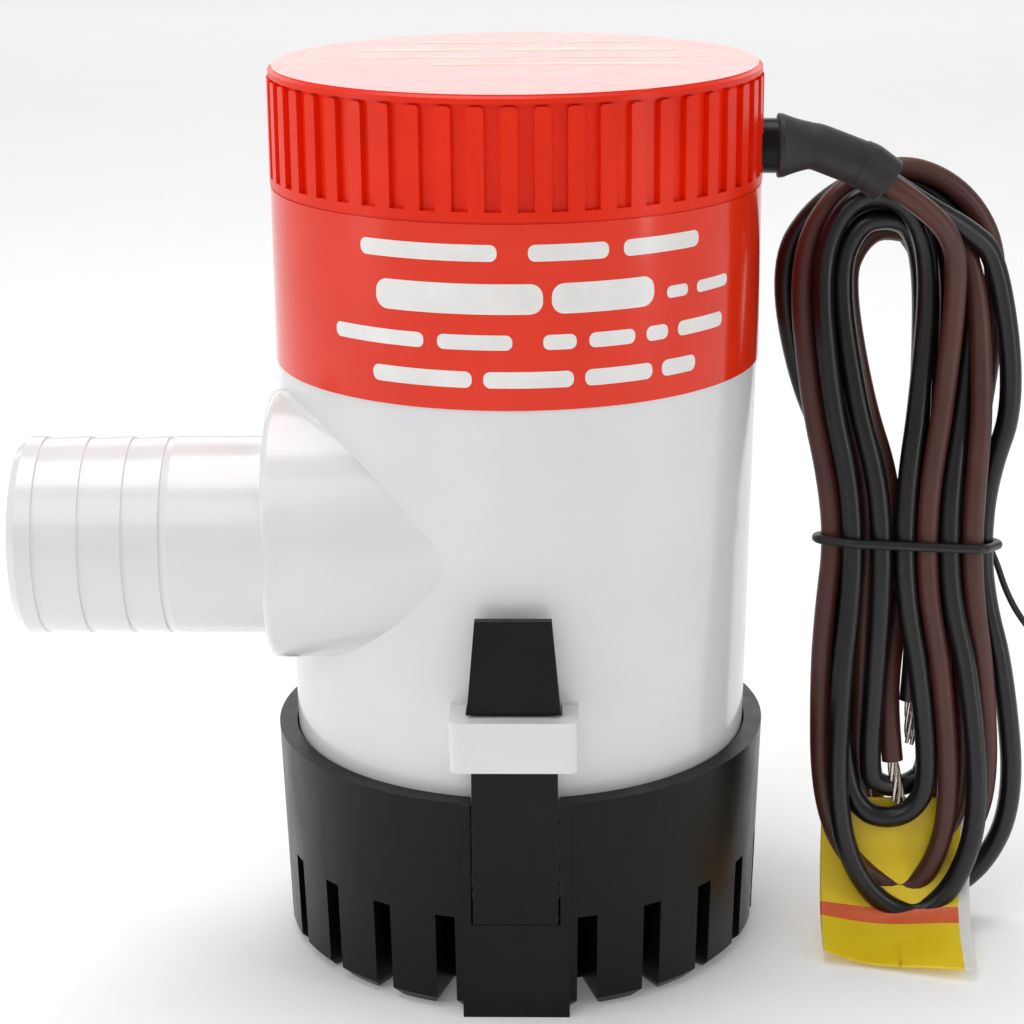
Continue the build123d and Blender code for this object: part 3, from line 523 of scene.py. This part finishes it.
def strands(name, route, lean, length):
    """The bare end of a wire: thin strands with a slow twist that part a little at the tip."""
    start = Vector(route[-1])
    along = (Vector(route[-1] - route[-2]) + Vector((lean, 0, 0))).normalized()
    side = along.orthogonal().normalized()
    other = along.cross(side)
    routes = []
    for index in range(STRANDS):
        phase = index * math.tau / (STRANDS - 1)
        strand = []
        for step in range(STRAND_POINTS):
            share = step / (STRAND_POINTS - 1)
            parted = 1 + 0.5 * share**2 * (1 + 0.6 * math.sin(3.1 * index))
            spread = STRAND_SPREAD * parted if index else 0.0
            turn = phase + STRAND_TWIST * share
            reach = (length + 0.5 * math.sin(2.3 * index)) * share + STRAND_START
            place = start + along * reach + (side * math.cos(turn) + other * math.sin(turn)) * spread
            strand.append(tuple(place))
        routes.append(strand)
    return curve_piece(name, routes, STRAND_RADIUS, "tinned_copper", resolution=4, sides=3)


black_bare = strands("black_bare_end", black_route, 1.2, 7.2)
brown_bare = strands("brown_bare_end", brown_route, 0.4, 7.0)

# The tag hangs inside the loops at the foot of the hank, bends forward and lies on the floor in front of it.
TAG_LINE = [(-3.0, 20.0), (-4.6, 11.5), (-9.0, 5.0), (-15.5, 1.9), (-24.5, 0.6)]
TAG_LEFT, TAG_RIGHT = 46.6, 69.6
TAG_STEPS_ACROSS, TAG_STEPS_ALONG = 40, 60
TAG_THICKNESS = 0.3
TAG_BAND = (0.55, 0.67)
TAG_BACKING = 0.92  # the backing shows right of this share of the width
TAG_YELLOW, TAG_RED, TAG_WHITE = range(3)  # the order of the tag's materials
TAG_LEAN = 2.2    # how much further right its top is than its front edge, on its right half
TAG_LEFT_LEAN = 0.4  # its left half leans this share of that
TAG_SKEW = 6.0    # how much further forward its right side reaches than its left
TAG_CURL = 1.3    # how far its sides curl up at its front edge
TAG_RIPPLE = 0.35
TAG_LOWEST = 0.35


def tag_place(across, along):
    """A place on the tag: across from 0 to 1, and along from its top, 0, to its front edge, 1."""
    where = along * (len(TAG_LINE) - 1)
    index = min(int(where), len(TAG_LINE) - 2)
    share = where - index
    last = len(TAG_LINE) - 1
    before, start, end, after = (Vector((0, *TAG_LINE[min(max(index + k, 0), last)])) for k in (-1, 0, 1, 2))
    bend = 2 * before - 5 * start + 4 * end - after
    twist = 3 * start - before - 3 * end + after
    middle = 0.5 * ((2 * start) + (end - before) * share + bend * share**2 + twist * share**3)
    lean = TAG_LEAN * (0.5 - along) * (1 if across > 0.5 else TAG_LEFT_LEAN)
    x = TAG_LEFT + (TAG_RIGHT - TAG_LEFT) * across + lean
    curl = TAG_CURL * (2 * across - 1) ** 2 * along**2
    lift = TAG_RIPPLE * math.sin(7.0 * across + 3.0 * along) * along + TAG_RIPPLE * along
    y = middle.y + TAG_SKEW * (0.75 - across) * along**2
    return Vector((x, y, max(middle.z + curl + lift, TAG_LOWEST)))


tag_mesh = bmesh.new()
tag_rows = [[tag_mesh.verts.new(tag_place(i / TAG_STEPS_ACROSS, j / TAG_STEPS_ALONG) * MM)
             for i in range(TAG_STEPS_ACROSS + 1)] for j in range(TAG_STEPS_ALONG + 1)]
for j in range(TAG_STEPS_ALONG):
    for i in range(TAG_STEPS_ACROSS):
        near, far = tag_rows[j], tag_rows[j + 1]
        face = tag_mesh.faces.new((near[i], near[i + 1], far[i + 1], far[i]))
        across = (i + 0.5) / TAG_STEPS_ACROSS
        along = (j + 0.5) / TAG_STEPS_ALONG
        in_band = TAG_BAND[0] < along < TAG_BAND[1]
        face.material_index = TAG_WHITE if across > TAG_BACKING else TAG_RED if in_band else TAG_YELLOW
tag = mesh_piece("tag_sheet", tag_mesh, "tag_yellow", "tag_red", "tag_white")
thickness = tag.modifiers.new("thickness", "SOLIDIFY")
thickness.thickness = TAG_THICKNESS * MM
thickness.offset = 0.0

# ------------------------------------------------------------------ printing on the labels

SIDE_PRINT_RADIUS = 35.89
TOP_PRINT_HEIGHT = 134.015
# Each row is (height of its middle, thickness of its bars, (start, end) of each bar along the row).
SIDE_ROWS = [
    (112.9, 2.3, ((-21.9, -1.8), (2.4, 13.6), (15.8, 28.6))),
    (106.6, 4.2, ((-19.4, 4.4), (5.6, 20.6))),
    (106.0, 1.7, ((22.8, 26.6), (28.4, 35.4))),
    (100.6, 2.1, ((-26.9, -12.2), (-10.2, 0.2), (4.4, 9.0), (10.8, 17.6), (19.4, 23.0), (24.8, 34.2))),
    (95.4, 2.3, ((-20.2, -5.4), (-3.8, 8.6), (10.2, 20.4), (22.0, 28.2))),
]
TOP_ROWS = [
    (22.0, 2.2, ((-19.0, -6.0), (-3.0, 16.0))),
    (13.0, 3.6, ((-24.0, 2.0), (6.0, 24.0))),
    (4.0, 2.0, ((-28.0, -4.0), (0.0, 25.0))),
    (-4.0, 2.0, ((-24.0, 12.0),)),
]


def print_mark(bm, place, start, end, low, high):
    """One printed bar with rounded ends, laid on the surface that place() gives."""
    corner = 0.42 * (high - low)
    turned = [corner * (1 - math.cos(math.radians(angle))) for angle in range(0, 91, 15)]
    middle = [start + corner + (end - start - 2 * corner) * share / 12 for share in range(1, 12)]
    cuts = [start + cut for cut in turned] + middle + [end - cut for cut in reversed(turned)]
    columns = []
    for cut in cuts:
        near = min(cut - start, end - cut)
        inset = 0.0 if near >= corner else corner - math.sqrt(max(corner**2 - (corner - near) ** 2, 0.0))
        columns.append([bm.verts.new(place(cut, low + inset)), bm.verts.new(place(cut, high - inset))])
    for one, other in zip(columns, columns[1:]):
        bm.faces.new((one[0], other[0], other[1], one[1]))


def printing(name, rows, place, finish):
    """Rows of plain bars that stand for the lines of print on a label."""
    bm = bmesh.new()
    for middle, thickness, bars in rows:
        for start, end in bars:
            print_mark(bm, place, start, end, middle - thickness / 2, middle + thickness / 2)
    return mesh_piece(name, bm, finish)


def on_side(along, height):
    angle = along / SIDE_PRINT_RADIUS
    outward = Vector((math.sin(angle), -math.cos(angle), 0))
    return outward * SIDE_PRINT_RADIUS * MM + Vector((0, 0, height * MM))


def on_top(along, height):
    return Vector((-along, height, TOP_PRINT_HEIGHT)) * MM


side_print = printing("side_label_print", SIDE_ROWS, on_side, "print_white")
top_print = printing("top_label_print", TOP_ROWS, on_top, "print_pale")

# ------------------------------------------------------------------ floor and light

FLOOR_SIZE = 12.0  # metres


def flat_panel(name, size, finish):
    bm = bmesh.new()
    bmesh.ops.create_grid(bm, x_segments=4, y_segments=4, size=size / 2)
    return mesh_piece(name, bm, finish, smooth=False)


finishes["floor"] = moulded("floor", ((0.93, 0.93, 0.93), (0.95, 0.95, 0.95)), (0.7, 0.85), grain=900.0,
                            grain_depth=0.000004, wave_depth=0.000004,
                            Emission_Color=(1.0, 1.0, 1.0, 1.0), Emission_Strength=0.10)
floor = flat_panel("floor", FLOOR_SIZE, "floor")

# name: (place, what it points at, size, power)
LIGHTS = {
    "key": ((-0.35, -0.65, 0.70), (0, 0, 0.07), (0.55, 0.45), 1.15),
    "left_strip": ((-0.62, -0.22, 0.22), (0, 0, 0.08), (0.22, 0.60), 0.75),
    "right_strip": ((0.55, -0.30, 0.20), (0, 0, 0.08), (0.07, 0.60), 0.7),
    "top_box": ((-0.12, 0.10, 0.85), (-0.02, 0, 0.10), (0.7, 0.5), 4.2),
    "back_panel": ((0.0, 1.5, 0.62), (0, 0, 0.10), (2.6, 0.8), 7.5),
}
for light_name, (place, target, size, power) in LIGHTS.items():
    light_data = bpy.data.lights.new(light_name, "AREA")
    light_data.shape = "RECTANGLE"
    light_data.size, light_data.size_y = size
    light_data.energy = power
    lamp = bpy.data.objects.new(light_name, light_data)
    bpy.context.scene.collection.objects.link(lamp)
    lamp.location = place
    lamp.rotation_euler = (Vector(target) - Vector(place)).to_track_quat("-Z", "Y").to_euler()

world = bpy.data.worlds.new("studio")
world.use_nodes = True
world.node_tree.nodes["Background"].inputs["Color"].default_value = (1.0, 1.0, 1.0, 1.0)
world.node_tree.nodes["Background"].inputs["Strength"].default_value = 0.38
bpy.context.scene.world = world
bpy.context.scene.view_settings.view_transform = "Standard"

# ------------------------------------------------------------------ each piece goes with the pump body, and the model's wire parts are hidden

for piece, slot_name in ((black_cord, "black_wire"), (brown_cord, "brown_wire"), (tie_band, "tie_plastic"),
                         (tie_tail, "tie_plastic"), (black_bare, "zinc_plated_steel"),
                         (brown_bare, "zinc_plated_steel"), (tag, "yellow_tag"),
                         (side_print, "label_film"), (top_print, "label_film")):
    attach(piece, "pump")

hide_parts("black_lead", "wire_hank")
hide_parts("brown_lead")
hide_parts("wire_tie")
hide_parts("wire_tag")
